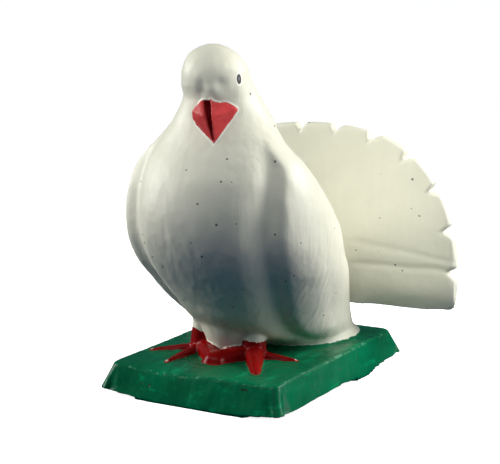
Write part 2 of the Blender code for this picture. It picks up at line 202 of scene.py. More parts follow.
def wing_relief(height, angle):
    """How far the surface stands out, in percent, at a height and an angle from straight ahead."""
    beyond = angle - float(np.interp(height, WING_HEIGHTS, WING_ANGLES))
    spread = float(np.interp(height, WING_HEIGHTS, WING_SPREADS))
    raised = WING_RISE * blend_step(WING_START, WING_RAMP * spread, beyond)
    raised *= 1 - blend_step(*WING_BACK, angle)
    furrow_half = FURROW_BEFORE if beyond < 0 else FURROW_AFTER * spread
    furrow = FURROW_DEPTH * mound(beyond, 0.0, furrow_half)
    flank = FLANK_RISE * mound(beyond, -FLANK_AHEAD, FLANK_HALF)
    flank *= 1 - blend_step(*FLANK_TOP, height)
    fade = (1 - blend_step(*RELIEF_TOP, height)) * blend_step(*RELIEF_FOOT, height)
    return (raised + flank - furrow) * fade


print("wing furrow at mid height lies", WING_ANGLES[4], "degrees from straight ahead")

# %% Turn of the head
NECK_AXIS = -23.0
HEAD_TURN = 22.0
HEAD_LEAN = -1.0
NECK = (68.0, 84.0)


def turned(across, ahead, share):
    """Where a point beside and ahead of the neck's axis comes with a share of the head's turn."""
    angle = math.radians(HEAD_TURN * share)
    x = HEAD_LEAN * share + across * math.cos(angle) + ahead * math.sin(angle)
    return x, NECK_AXIS + across * math.sin(angle) - ahead * math.cos(angle)


def head_place(across, ahead, height):
    """A point given in the turned head's own directions."""
    return bird_place(*turned(across, ahead, 1.0), height)


def head_directions(point):
    """The other way round: across, ahead and height of a point, in the head's own directions."""
    x, y = point.x / PERCENT - HEAD_LEAN, point.y / PERCENT - NECK_AXIS
    angle = math.radians(HEAD_TURN)
    across = x * math.cos(angle) + y * math.sin(angle)
    ahead = x * math.sin(angle) - y * math.cos(angle)
    return across, ahead, (point.z - SLAB_HEIGHT) / PERCENT


print("the head is turned by", HEAD_TURN, "degrees, between", in_mm(level(NECK[0])), "and",
      in_mm(level(NECK[1])), "mm")

# %% [markdown]
# ## The body
# A ball is the simplest closed shape with an even net of faces. Each of its points is moved to its
# place on the bird, as a potter squeezes a ball of clay. Many rings and sides keep the curves true.

# %% Make the body
BODY_SIDES, BODY_RINGS = 240, 180
rough = bpy.data.collections.new("rough_forms")
bpy.context.scene.collection.children.link(rough)


def keep_form(bm, name):
    """A helper form of the casting. All of these are fused further down."""
    bmesh.ops.recalc_face_normals(bm, faces=bm.faces)
    mesh = bpy.data.meshes.new(name)
    bm.to_mesh(mesh)
    bm.free()
    form = bpy.data.objects.new(name, mesh)
    rough.objects.link(form)
    return form


def body_point(direction):
    """Where a point of the unit ball goes on the pigeon's body."""
    height = LOWEST + (CROWN - LOWEST) * (direction.z + 1) / 2
    row = smooth_row(SECTION_TABLE, SECTION_KEYS, ball_key(height))
    front, middle, back, half_width, square, aside = row[1:]
    around = math.atan2(direction.x, -direction.y)
    across, along = math.sin(around), -math.cos(around)
    if along > 0:
        across = math.copysign(abs(across) ** (2 / square), across)
        along = along ** (2 / square)
    reach = (back - middle) if along > 0 else (middle - front)
    x, y = half_width * across, middle + reach * along
    out = Vector((x, y - middle))
    if out.length > 0:
        relief = wing_relief(height, abs(math.degrees(around))) / out.length
        x, y = x + out.x * relief, y + out.y * relief
    x, y = turned(x + aside, NECK_AXIS - y, blend_step(*NECK, height))
    return bird_place(x, y, height)


bm = bmesh.new()
bmesh.ops.create_uvsphere(bm, u_segments=BODY_SIDES, v_segments=BODY_RINGS, radius=1)
for vert in bm.verts:
    vert.co = body_point(vert.co)
body = keep_form(bm, "body_form")
print("body form has", len(body.data.vertices), "points")

# %% [markdown]
# ## The tail fan
# The fan is a plate of thirteen feathers standing behind the bird. Each feather ends in a blunt tip
# that rises slowly from one notch and drops steeply into the next. The lowest notch on each side
# lies a little below the level of the fan's centre, and under it the fan has a nearly level lower
# edge with a rounded corner.

# %% Outline of the fan
FEATHERS = 13
FAN_LOWEST = -13.6
FAN_Y, FAN_Z = 43.2, 20.0
NOTCH_RADIUS, TIP_RADIUS = 49.2, 52.8
FAN_LOW_EDGE = 7.8
FAN_CORNER = 14
FAN_DRAW, FAN_SHOULDER = 0.05, 0.06
FEATHER_STEP = (180 - 2 * FAN_LOWEST) / FEATHERS
RISE_SHARE, FALL_SHARE = 0.28, 0.10


def feather_tip(share):
    """0 in a notch, 1 along the blunt end of a feather."""
    rise = min(1.0, share / RISE_SHARE)
    fall = min(1.0, (1 - share) / FALL_SHARE)
    return min(math.sin(rise * math.pi / 2), math.sin(fall * math.pi / 2))


def fan_radius(angle):
    """Distance from the fan's centre to its edge in a direction, in percent."""
    angle = (angle + 90) % 360 - 90
    sine = math.sin(math.radians(angle))
    shoulder = FAN_SHOULDER * math.sin(math.radians(2 * angle)) ** 2
    bow = (1 - FAN_DRAW * sine**2) * (1 + shoulder)
    tip = 0.0
    if FAN_LOWEST < angle < 180 - FAN_LOWEST:
        tip = feather_tip(((180 - FAN_LOWEST - angle) / FEATHER_STEP) % 1.0)
    edge = bow * (NOTCH_RADIUS + (TIP_RADIUS - NOTCH_RADIUS) * tip)
    if sine >= 0:
        return edge
    down = (FAN_LOW_EDGE - FAN_Z) / sine
    return (edge**-FAN_CORNER + down**-FAN_CORNER) ** (-1 / FAN_CORNER)


tip_shares = [RISE_SHARE * share for share in (0.0, 0.25, 0.5, 0.75, 1.0)]
tip_shares += list(np.linspace(0.36, 0.9, 7)) + [0.94, 0.97]
fan_angles = [
    180 - FAN_LOWEST - FEATHER_STEP * (feather + share)
    for feather in range(FEATHERS) for share in tip_shares
]
fan_angles += list(np.linspace(FAN_LOWEST, -180 - FAN_LOWEST, 64, endpoint=False))
print("the fan's edge has", len(fan_angles), "points")

# %% [markdown]
# ## From a ball to the fan
# A ball pressed flat makes the plate: one half is its front, the other its back, and the equator is
# the scalloped rim. Each ring has a share of the fan's radius and of its thickness. The plate is
# thicker at its root, and out to the sides its front is rounded away towards the lower edge.

# %% Make the fan
RIM_HALF, ROOT_HALF = 2.2, 4.4
ROOT_WIDE, ROOT_TALL = 34.0, 30.0
ROLL_TOP, ROLL_SHARE, ROLL_SIDE = 24.0, 0.85, (16.0, 26.0)
FAN_RINGS = [(0.0, 1.0)] + [(share, 1.0) for share in np.linspace(0.1, 0.96, 18)]
FAN_RINGS += [(0.975, 0.97), (0.988, 0.86), (0.996, 0.66), (0.9995, 0.34), (1.0, 0.0)]
LAST_RING = len(FAN_RINGS) - 1


def fan_point(direction):
    """Where a point of the unit ball goes on the fan."""
    sides = len(fan_angles)
    index = round(math.atan2(direction.y, direction.x) / (2 * math.pi) * sides) % sides
    angle = fan_angles[-index]
    tilt = abs(math.asin(max(-1.0, min(1.0, direction.z))))
    share, thickness = FAN_RINGS[LAST_RING - round(tilt / (math.pi / 2) * LAST_RING)]
    radius = share * fan_radius(angle)
    x = radius * math.cos(math.radians(angle))
    z = FAN_Z + radius * math.sin(math.radians(angle))
    root = math.exp(-((x / ROOT_WIDE) ** 2) - ((z - FAN_LOW_EDGE) / ROOT_TALL) ** 2)
    half = RIM_HALF + (ROOT_HALF - RIM_HALF) * root
    offset = math.copysign(half * thickness, direction.z)
    if offset < 0 and z < ROLL_TOP:
        under = ((ROLL_TOP - z) / (ROLL_TOP - FAN_LOW_EDGE)) ** 2
        offset *= 1 - ROLL_SHARE * under * blend_step(*ROLL_SIDE, abs(x))
    return bird_place(x, FAN_Y + offset, z)


bm = bmesh.new()
bmesh.ops.create_uvsphere(bm, u_segments=len(fan_angles), v_segments=2 * LAST_RING, radius=1)
for vert in bm.verts:
    vert.co = fan_point(vert.co)
fan = keep_form(bm, "fan_form")
print("fan is", in_mm(fan.dimensions.x), "mm wide")

# %% [markdown]
# ## The slab
# A block with sloping sides, as a casting needs to leave its mould. The real slab warped as it
# dried: its corners stand off the table, its front top edge sags, and the top edge on the bird's
# left rises towards the front and falls towards the rear. All of these sizes are in metres.

# %% How the slab bends
RIM_LIFT, RIM_DIP_Y, RIM_DIP_HALF, RIM_DIP_SHARE = 0.0035, 0.028, 0.022, 0.85
FRONT_REACH, SIDE_REACH = 0.018, 0.014
SAG_DEPTH, SAG_X, SAG_HALF = 0.0028, -0.020, 0.025
RISE_HEIGHT, RISE_Y, RISE_HALF = 0.002, -0.058, 0.028
FALL_DEPTH, FALL_START = 0.0018, 0.030


def rim_height(x, y):
    """Height of the slab's lower edge, which stands highest along its sides and corners."""
    dip = mound(y, RIM_DIP_Y, RIM_DIP_HALF)
    return RIM_LIFT * (2 * abs(x) / SLAB_WIDTH) ** 2 * (1 - RIM_DIP_SHARE * dip)


def top_shift(x, y):
    """How far the slab's top edge rises or sags, along the front and along the bird's left."""
    front = blend_step(-SLAB_LENGTH / 2 + FRONT_REACH, -SLAB_LENGTH / 2, y)
    side = blend_step(SLAB_WIDTH / 2 - SIDE_REACH, SLAB_WIDTH / 2, x)
    sag = SAG_DEPTH * mound(x, SAG_X, SAG_HALF)
    rise = RISE_HEIGHT * mound(y, RISE_Y, RISE_HALF)
    fall = FALL_DEPTH * blend_step(FALL_START, SLAB_LENGTH / 2, y)
    return side * (rise - fall) - front * sag


print("slab corners stand up to", in_mm(RIM_LIFT), "mm off the table")

# %% [markdown]
# ## From a cube to the slab
# A cube with its top drawn in gives the slope, and a bevel takes the sharpness off the corners and
# the top edge. An inset underneath parts the lifted rim from the level middle, and cuts through the
# whole block let it bend.

# %% Make the slab
SLAB_SLOPE, RIM_WIDTH = 0.006, 0.009
CORNER_RADIUS, EDGE_RADIUS = 5.0 * MM, 1.2 * MM
CUTS_X, CUTS_Y = 18, 24
HAIR = 1e-5


def bevel_edges(bm, edges, offset, segments):
    bmesh.ops.bevel(bm, geom=edges, offset=offset, offset_type="OFFSET", segments=segments,
                    profile=0.5, affect="EDGES", material=-1)


def cut_across(bm, axis, places):
    """Cuts through the whole slab at some places along an axis, so that it can bend there."""
    for place in places:
        point, normal = Vector(), Vector()
        point[axis], normal[axis] = place, 1.0
        everything = bm.verts[:] + bm.edges[:] + bm.faces[:]
        bmesh.ops.bisect_plane(bm, geom=everything, plane_co=point, plane_no=normal)


bm = bmesh.new()
bmesh.ops.create_cube(bm, size=1)
for vert in bm.verts:
    inset = SLAB_SLOPE if vert.co.z > 0 else 0.0
    vert.co.x = math.copysign(SLAB_WIDTH / 2 - inset, vert.co.x)
    vert.co.y = math.copysign(SLAB_LENGTH / 2 - inset, vert.co.y)
    vert.co.z = SLAB_HEIGHT if vert.co.z > 0 else 0.0
upright = [e for e in bm.edges if abs(e.verts[0].co.z - e.verts[1].co.z) > SLAB_HEIGHT / 2]
bevel_edges(bm, upright, CORNER_RADIUS, 6)
top_edges = [e for e in bm.edges if all(v.co.z > SLAB_HEIGHT - HAIR for v in e.verts)]
bevel_edges(bm, top_edges, EDGE_RADIUS, 3)
under = [f for f in bm.faces if f.calc_center_median().z < HAIR]
bmesh.ops.inset_region(bm, faces=under, thickness=RIM_WIDTH, use_even_offset=True)
cut_across(bm, 0, np.linspace(-SLAB_WIDTH / 2, SLAB_WIDTH / 2, CUTS_X)[1:-1])
cut_across(bm, 1, np.linspace(-SLAB_LENGTH / 2, SLAB_LENGTH / 2, CUTS_Y)[1:-1])
level_x, level_y = SLAB_WIDTH / 2 - RIM_WIDTH, SLAB_LENGTH / 2 - RIM_WIDTH
for vert in bm.verts:
    x, y, z = vert.co
    if z > SLAB_HEIGHT / 2:
        vert.co.z += top_shift(x, y)
    elif abs(x) > level_x + HAIR or abs(y) > level_y + HAIR:
        vert.co.z = rim_height(x, y)
bmesh.ops.triangulate(bm, faces=bm.faces)
slab = keep_form(bm, "slab_form")
print("slab form has", len(slab.data.polygons), "faces")

# %% [markdown]
# ## The beak
# The beak is a blunt wedge pressed down on the breast. It has a flat facet on each side and a
# groove between them that narrows to the tip. A hull drawn tight round a few corner points gives
# each facet, and a third, lower one is the floor of the groove. The points are given across, ahead
# and by height, in the turned head's own directions.

# %% Make the beak
BEAK_FORMS = {
    "left": (
        (-0.3, 12.6, 83.8),
        (0.4, 16.8, 79.0),
        (7.6, 11.2, 80.8),
        (4.6, 11.8, 82.6),
        (1.0, 16.0, 71.2),
        (0.9, 10.0, 71.0),
        (0.5, 5.0, 79.0),
    ),
    "right": (
        (-2.8, 12.3, 83.6),
        (-1.8, 15.7, 79.0),
        (-6.3, 11.8, 80.4),
        (-6.4, 11.6, 77.8),
        (-3.8, 12.0, 83.2),
        (0.8, 15.3, 71.5),
        (0.5, 10.2, 71.2),
        (0.1, 5.3, 78.7),
    ),
    "middle": (
        (-2.6, 10.6, 83.2),
        (-0.1, 10.7, 83.3),
        (-1.7, 13.2, 79.0),
        (0.2, 13.4, 79.1),
        (0.8, 14.2, 72.2),
        (0.6, 9.8, 71.4),
        (0.3, 5.6, 78.9),
    ),
}
beak_forms = []
for name, corners in BEAK_FORMS.items():
    bm = bmesh.new()
    for corner in corners:
        bm.verts.new(head_place(*corner))
    bmesh.ops.convex_hull(bm, input=bm.verts)
    beak_forms.append(keep_form(bm, "beak_" + name))
print("beak is", in_mm(beak_forms[0].dimensions.z), "mm high")

# %% [markdown]
# ## Legs, toes and the lobe between them
# Each leg is a short red column under a white thigh, with toes that taper to a point on the slab.
# The two inner toes meet in a band under the lobe of the belly. Tapered rods with ball ends make
# all of them. Each toe is given by the place of its tip and its radius at the foot and at the tip.

# %% A tapered rod
ROD_SIDES, ROD_RINGS = 48, 40


def spindle(name, start, end, start_radius, end_radius):
    """A tapered rod with ball ends."""
    axis = end - start
    bm = bmesh.new()
    bmesh.ops.create_uvsphere(bm, u_segments=ROD_SIDES, v_segments=ROD_RINGS, radius=1)
    for vert in bm.verts:
        if vert.co.z > 0:
            vert.co = vert.co * end_radius + Vector((0, 0, axis.length))
        else:
            vert.co = vert.co * start_radius
    turn = axis.to_track_quat("Z", "Y").to_matrix().to_4x4()
    bmesh.ops.transform(bm, matrix=Matrix.Translation(start) @ turn, verts=bm.verts)
    return keep_form(bm, name)


print("a rod has", ROD_SIDES, "sides")

# %% Make legs and toes
LEGS = {
    "right": {
        "foot": (-12.0, -15.0),
        "thigh": 7.9,
        "toes": (((-26.3, -23.4), 1.7, 0.7), ((-14.1, -33.3), 2.0, 0.7), ((-0.2, -26.2), 3.0, 3.2)),
    },
    "left": {
        "foot": (7.6, -15.7),
        "thigh": 9.2,
        "toes": (((20.8, -12.1), 2.0, 0.7), ((17.4, -32.0), 3.4, 1.1), ((-1.4, -25.9), 2.9, 3.6)),
    },
}
SHANK_RADIUS, SHANK_HEIGHT, SHANK_FLARE = 3.5, 8.0, 1.2
THIGH_HEIGHT, THIGH_FLARE, KNEE_OVERLAP = 21.0, 1.1, 1.2
TOE_LIFT = 0.6
LOBE_LOW, LOBE_LOW_RADIUS = (-2.0, -12.2, 3.0), 8.3
LOBE_HIGH, LOBE_HIGH_RADIUS = (-1.5, -12.0, 23.0), 17.0


def above(point, distance):
    return point + Vector((0, 0, distance))


foot_forms, thighs = [], []
for side, leg in LEGS.items():
    foot = bird_place(*leg["foot"], 0.0)
    knee, hip = above(foot, SHANK_HEIGHT * PERCENT), above(foot, THIGH_HEIGHT * PERCENT)
    radius = SHANK_RADIUS * PERCENT
    foot_forms.append(spindle(side + "_shank", foot, knee, radius * SHANK_FLARE, radius))
    thighs.append(spindle(side + "_thigh", above(knee, radius * KNEE_OVERLAP), hip,
                          radius * THIGH_FLARE, leg["thigh"] * PERCENT))
    for number, (tip, thick, thin) in enumerate(leg["toes"]):
        start, end = above(foot, thick * PERCENT * TOE_LIFT), bird_place(*tip, 0.0)
        foot_forms.append(spindle(f"{side}_toe_{number}", start, end, thick * PERCENT,
                                  thin * PERCENT))
lobe = spindle("lobe_form", bird_place(*LOBE_LOW), bird_place(*LOBE_HIGH),
               LOBE_LOW_RADIUS * PERCENT, LOBE_HIGH_RADIUS * PERCENT)
print(len(foot_forms), "red forms below and", len(beak_forms), "on the beak")

# %% [markdown]
# ## Fuse the casting
# In the mould all of this was one pour. Voxel remeshing does the same for the mesh: it fills the
# forms with tiny cells and wraps one closed skin round them.

# %% Fuse the forms into one skin
VOXEL = 0.7 * MM


def keep_modified(piece):
    """Puts the shape that the piece's modifiers give into its mesh, and drops the modifiers."""
    finished = piece.evaluated_get(bpy.context.evaluated_depsgraph_get())
    mesh = bpy.data.meshes.new_from_object(finished)
    piece.modifiers.clear()
    piece.data = mesh


bm = bmesh.new()
for form in [slab, body, fan, lobe] + thighs + beak_forms + foot_forms:
    bm.from_mesh(form.data)
mesh = bpy.data.meshes.new("pigeon")
bm.to_mesh(mesh)
bm.free()
pigeon = bpy.data.objects.new("pigeon", mesh)
bpy.context.scene.collection.objects.link(pigeon)
fuse = pigeon.modifiers.new("fuse", "REMESH")
fuse.mode = "VOXEL"
fuse.voxel_size = VOXEL
fuse.adaptivity = 0.0
keep_modified(pigeon)
print("fused skin has", len(pigeon.data.vertices), "points")

# %% [markdown]
# ## Round the inner corners
# Where the bird meets the slab, where the fan grows from the rump, and where the thighs leave the
# belly, the real casting flows over in a soft hollow, filled by slip and paint. Only those regions
# are smoothed hard: the places that are close to both of the forms that meet there.

# %% Find the places where forms meet
FAN_JOINT, SLAB_JOINT, THIGH_JOINT = 6 * MM, 4 * MM, 8 * MM
THIGH_JOINT_FOOT = 9
JOINT_FOOT = 0.002


def tree_of(forms):
    """A search tree over the skins of some forms."""
    points, faces = [], []
    for form in forms:
        start = len(points)
        points += [v.co.copy() for v in form.data.vertices]
        faces += [[start + i for i in p.vertices] for p in form.data.polygons]
    return BVHTree.FromPolygons(points, faces)


def near(skin, point, limit):
    """Distance from a point to a skin, or the limit where it is further away."""
    found = skin.find_nearest(point, limit)
    return found[3] if found[0] is not None else limit


def both_near(first, second, point, reach):
    return near(first, point, reach + MM) < reach and near(second, point, reach + MM) < reach


body_skin, fan_skin, slab_skin = tree_of([body]), tree_of([fan]), tree_of([slab])
leg_skin = tree_of(thighs + [lobe])


def at_joint(p):
    if p.z < JOINT_FOOT:
        return False
    if both_near(body_skin, fan_skin, p, FAN_JOINT):
        return True
    if p.z < SLAB_HEIGHT + SLAB_JOINT and both_near(body_skin, slab_skin, p, SLAB_JOINT):
        return True
    return p.z > level(THIGH_JOINT_FOOT) and both_near(leg_skin, body_skin, p, THIGH_JOINT)


print("joints reach up to", in_mm(THIGH_JOINT), "mm from where two forms meet")

# %% Smooth the skin and its joints
SKIN_PASSES, JOINT_PASSES = 2, 36


def smooth(bm, verts, passes):
    for _ in range(passes):
        bmesh.ops.smooth_vert(bm, verts=verts, factor=0.5, use_axis_x=True, use_axis_y=True,
                              use_axis_z=True)


bm = bmesh.new()
bm.from_mesh(pigeon.data)
smooth(bm, bm.verts, SKIN_PASSES)
joints = [vert for vert in bm.verts if at_joint(vert.co)]
smooth(bm, joints, JOINT_PASSES)
print(len(joints), "points smoothed at the joints")

# %% [markdown]
# ## Sculpt the face and the feathers
# The forehead steps in above the beak, with hollows on both sides of a narrow bridge and a small
# bulge at the beak's left root. Three fainter hollows lie behind the near eye. Two shallow folds
# run out along the lowest feathers on each side of the fan, and the feather under the lower fold is
# rounded. Each row of the hollows gives the place, the size in percent and the move in millimetres,
# outward where it is positive.

# %% Hollows and folds
DENTS = (
    (head_place(-3.2, 13.2, 88.0), 1.7, -1.1),
    (head_place(-3.4, 13.0, 85.6), 1.5, -1.2),
    (head_place(2.0, 12.6, 84.8), 2.2, 1.4),
    (head_place(2.6, 13.2, 88.6), 1.7, -1.0),
    (head_place(0.0, 13.8, 86.8), 1.5, 0.6),
    (head_place(10.1, 6.2, 83.5), 1.8, -0.4),
    (head_place(10.0, 6.4, 86.5), 1.8, -0.5),
    (head_place(9.9, 7.0, 89.8), 1.8, -0.4),
)
LOW_FOLD, LOW_FOLD_RISE, LOW_FOLD_DEPTH, LOW_FOLD_HALF = 21.8, 0.022, 0.8, 1.2
HIGH_FOLD, HIGH_FOLD_RISE, HIGH_FOLD_DEPTH, HIGH_FOLD_HALF = 31.8, -0.115, 0.55, 1.3
FOLD_WANDER = 0.5
FEATHER_ROLL = 2.2
FOLD_START = (12.0, 20.0)


def fan_relief(p):
    """Two nearly level folds on each side of the fan, and the rounded feather, in millimetres."""
    x, h = abs(p.x) / PERCENT, (p.z - SLAB_HEIGHT) / PERCENT
    low_fold = LOW_FOLD + LOW_FOLD_RISE * x + FOLD_WANDER * noise.noise(p * 60)
    high_fold = HIGH_FOLD + HIGH_FOLD_RISE * x + FOLD_WANDER * noise.noise(p * 50)
    folds = LOW_FOLD_DEPTH * mound(h, low_fold, LOW_FOLD_HALF)
    folds += HIGH_FOLD_DEPTH * mound(h, high_fold, HIGH_FOLD_HALF)
    roll = 0.0
    if h < low_fold:
        roll = FEATHER_ROLL * math.sin(math.pi * blend_step(FAN_LOW_EDGE - 2, low_fold, h))
    return blend_step(*FOLD_START, x) * (roll - folds)


print(len(DENTS), "hollows and bulges on the head")

# %% [markdown]
# ## The hand-made unevenness
# Nothing made by hand is quite even, so soft noise of three sizes moves the whole skin by a few
# tenths of a millimetre, with upright streaks from wiping and brushing that are fainter on the fan.
# All of these are moves along the surface's own direction.

# %% Sculpt
UNEVENNESS = ((0.34, 38), (0.18, 105), (0.07, 260))
STREAK_ACROSS, STREAK_UP = 260, 55
STREAK_DEPTH, FAN_STREAK_DEPTH = 0.15, 0.04
FAN_ZONE = 0.068
FACING_FRONT = -0.3
FLAT_FOOT = 0.0012


def push(p, normal):
    """How far a point of the skin moves out, in metres."""
    amount = 0.0
    for depth, fineness in UNEVENNESS:
        amount += depth * noise.noise(p * fineness)
    streak = noise.noise(Vector((p.x * STREAK_ACROSS, p.y * STREAK_ACROSS, p.z * STREAK_UP)))
    amount += (FAN_STREAK_DEPTH if p.y > FAN_ZONE else STREAK_DEPTH) * streak
    for centre, size, depth in DENTS:
        gap = (p - centre).length / PERCENT
        if gap < 3 * size:
            amount += depth * mound(gap, 0.0, size)
    if p.y > FAN_ZONE and p.z > level(FAN_LOW_EDGE) and normal.y < FACING_FRONT:
        amount += fan_relief(p)
    return amount * MM


bm.normal_update()
moves = [push(v.co, v.normal) if v.co.z > FLAT_FOOT else 0.0 for v in bm.verts]
for vert, move in zip(bm.verts, moves):
    vert.co += vert.normal * move
print("furthest push", round(max(abs(m) for m in moves) / MM, 2), "mm")

# %% [markdown]
# ## Keep the skin inside the solid's box and thin it out
# The skin may not grow past the measured solid, so its points are held inside that box, and the
# underside is pressed flat. Flat places need fewer faces than curved ones, and Decimate finds them.

# %% Trim and thin
TRIANGLES = 190000
for vert in bm.verts:
    for axis in range(3):
        vert.co[axis] = min(max(vert.co[axis], cad_low[axis]), cad_high[axis])
    if vert.co.z < FLAT_FOOT:
        vert.co.z = 0.0
bm.to_mesh(pigeon.data)
bm.free()
thin = pigeon.modifiers.new("thin", "DECIMATE")
thin.ratio = min(1.0, TRIANGLES / (2 * len(pigeon.data.polygons)))
keep_modified(pigeon)
pigeon.data.shade_smooth()
print("finished skin has", sum(len(p.vertices) - 2 for p in pigeon.data.polygons), "triangles")

# %% [markdown]
# ## Where each paint lies
# The painter followed the forms: red on beak and feet, green over the slab and a little way up the
# bird. Each point of the skin remembers how far it is from the red forms, in millimetres, how far
# it is from the middle of the beak's groove, and how close it is to the slab's top edge, where a
# highlight is painted. The paint reads these numbers.

# %% Measure the distances for the paint
PAINT_REACH = 6
GROOVE_TOP, GROOVE_FOOT, GROOVE_AHEAD = 83.6, 71.6, 8
GROOVE_MIDDLE, GROOVE_LEAN = -1.5, 2.35
GROOVE_HALF, GROOVE_TAPER, GROOVE_LEAST = 1.35, 1.0, 0.2
FAR_FROM_GROOVE = 3.0
HIGHLIGHT_STRIP_REACH = 1.5


def keep_values(name, values):
    """Stores one number for each point of the skin, under a name that the paint can read."""
    layer = pigeon.data.attributes.new(name, "FLOAT", "POINT")
    layer.data.foreach_set("value", values)


def gaps_to(forms):
    skin = tree_of(forms)
    return [near(skin, v.co, PAINT_REACH * MM) / MM for v in pigeon.data.vertices]


def beside_groove(p):
    """Distance from the middle line of the beak's groove, where 1 is its edge."""
    side, ahead, height = head_directions(p)
    share = (GROOVE_TOP - height) / (GROOVE_TOP - GROOVE_FOOT)
    if ahead < GROOVE_AHEAD or not -0.1 < share < 1.0:
        return FAR_FROM_GROOVE
    middle, half = GROOVE_MIDDLE + GROOVE_LEAN * share, GROOVE_HALF - GROOVE_TAPER * share
    return min(FAR_FROM_GROOVE, abs(side - middle) / max(GROOVE_LEAST, half))


def on_top_edge(p):
    """1 along the slab's front and right top edges, 0 where their painted highlight ends."""
    if p.z < SLAB_HEIGHT / 2 or p.z > SLAB_HEIGHT + 3 * MM:
        return 0.0
    over = abs(p.z - SLAB_HEIGHT - top_shift(p.x, p.y)) / MM
    front = abs(p.y + SLAB_LENGTH / 2 - SLAB_SLOPE) / MM
    right = abs(p.x - SLAB_WIDTH / 2 + SLAB_SLOPE) / MM
    return max(0.0, 1 - math.hypot(over, min(front, right)) / HIGHLIGHT_STRIP_REACH)


beak_gap, foot_gap = gaps_to(beak_forms), gaps_to(foot_forms)
keep_values("beak_gap", beak_gap)
keep_values("foot_gap", foot_gap)
keep_values("beak_groove", [beside_groove(v.co) for v in pigeon.data.vertices])
keep_values("top_edge", [on_top_edge(v.co) for v in pigeon.data.vertices])
print("points under red paint:", sum(1 for a, b in zip(beak_gap, foot_gap) if min(a, b) < 0.5))

# %% Clear the helper forms away
for form in list(rough.objects):
    bpy.data.objects.remove(form, do_unlink=True)
bpy.data.collections.remove(rough)
print("one piece left:", pigeon.name)

# %% [markdown]
# ## The paint
# One material carries all four paints: white, red, green and the black of the eyes. Masks choose
# between them, and each mask's edge wanders a little, as a brushed edge does. Roughness differs
# too: the white is satin, the red and green are glossy. These short helpers add a node each.

# %% Paint helpers
paint = bpy.data.materials.new("painted_ceramic")
paint.use_nodes = True
tree = paint.node_tree
tree.nodes.clear()


def add(kind, **settings):
    node = tree.nodes.new("ShaderNode" + kind)
    for key, value in settings.items():
        setattr(node, key, value)
    return node


def join(value, socket):
    """Puts a number, a colour or another node's output into a socket."""
    if isinstance(value, bpy.types.NodeSocket):
        tree.links.new(value, socket)
    else:
        socket.default_value = value


def sums(operation, a, b=0.0, c=0.0):
    """One sum on numbers or on other nodes' outputs."""
    node = add("Math", operation=operation)
    for value, socket in zip((a, b, c), node.inputs):
        join(value, socket)
    return node.outputs[0]


def ramp(value, low, high, start=0.0, end=1.0):
    """A smooth step from start to end while value goes from low to high."""
    node = add("MapRange", interpolation_type="SMOOTHSTEP")
    for item, socket in zip((value, low, high, start, end), node.inputs):
        join(item, socket)
    return node.outputs[0]


def below(value, low, high):
    """1 where value is under low, 0 where it is over high, and soft between them."""
    return ramp(value, low, high, 1.0, 0.0)


def mix(share, a, b):
    """Colour a where share is 0, b where it is 1."""
    node = add("Mix", data_type="RGBA")
    join(share, node.inputs[0])
    join(a, node.inputs[6])
    join(b, node.inputs[7])
    return node.outputs[2]


def cloud(scale, detail=3.0, stretch=(1.0, 1.0, 1.0)):
    """Soft noise on the object's own coordinates, 0 to 1."""
    mapping = add("Mapping")
    mapping.inputs["Scale"].default_value = stretch
    tree.links.new(place, mapping.inputs["Vector"])
    node = add("TexNoise")
    node.inputs["Scale"].default_value = scale
    node.inputs["Detail"].default_value = detail
    node.inputs["Roughness"].default_value = 0.55
    tree.links.new(mapping.outputs[0], node.inputs["Vector"])
    return node.outputs["Fac"]


def attribute(name):
    """The numbers that the skin keeps under a name."""
    return add("Attribute", attribute_name=name).outputs["Fac"]


place = add("TexCoord").outputs["Object"]
split = add("SeparateXYZ")
tree.links.new(place, split.inputs[0])
east, up = split.outputs["X"], split.outputs["Z"]
print("paint has", len(tree.nodes), "nodes to start with")

# %% [markdown]
# ## Edges of the paint
# The red follows the distances measured above, half a millimetre beyond the red forms. On the legs
# it ends at a level that falls a little from one leg to the other, and the beak's groove, painted
# dark as shade, ends where the white begins. The green ends at a wavy line just above the slab.

# %% Masks
RED_BEYOND, RED_SOFT = 0.55, 0.10
LEG_TOP, LEG_TOP_LEAN, LEG_TOP_WANDER = (6.7, 6.8), 0.067, 0.005
BEAK_TOP, GROOVE_PAINT_TOP, GROOVE_EDGE = (84.0, 84.3), (83.4, 83.7), (0.7, 1.1)
GREEN_ABOVE, GREEN_SOFT, GREEN_WANDER = 1.5 * MM, 0.1 * MM, 0.002


def below_level(heights):
    return below(up, level(heights[0]), level(heights[1]))


wander = sums("SUBTRACT", cloud(170, 2.0), 0.5)
red_edge = sums("MULTIPLY_ADD", wander, 1.0, RED_BEYOND)
in_beak = below(sums("SUBTRACT", attribute("beak_gap"), red_edge), -RED_SOFT, RED_SOFT)
in_foot = below(sums("SUBTRACT", attribute("foot_gap"), red_edge), -RED_SOFT, RED_SOFT)
leg_height = sums("MULTIPLY_ADD", wander, LEG_TOP_WANDER, up)
leg_height = sums("MULTIPLY_ADD", east, LEG_TOP_LEAN, leg_height)
in_foot = sums("MULTIPLY", in_foot, below(leg_height, level(LEG_TOP[0]), level(LEG_TOP[1])))
in_groove = below(attribute("beak_groove"), *GROOVE_EDGE)
in_groove = sums("MULTIPLY", in_groove, below_level(GROOVE_PAINT_TOP))
in_beak = sums("MULTIPLY", in_beak, below_level(BEAK_TOP))
in_beak = sums("MAXIMUM", in_beak, in_groove)
in_red = sums("MAXIMUM", in_beak, in_foot)
green_height = sums("MULTIPLY_ADD", wander, GREEN_WANDER, up)
green_line = SLAB_HEIGHT + GREEN_ABOVE
in_green = below(green_height, green_line - GREEN_SOFT, green_line + GREEN_SOFT)
print("green ends near", in_mm(green_line), "mm above the floor")

# %% [markdown]
# ## Eyes
# Small upright ovals in black, each with a grey glint in the middle and a fresh white ring round
# it. The distance to the eye's centre, squeezed sideways, is less than one inside the oval.

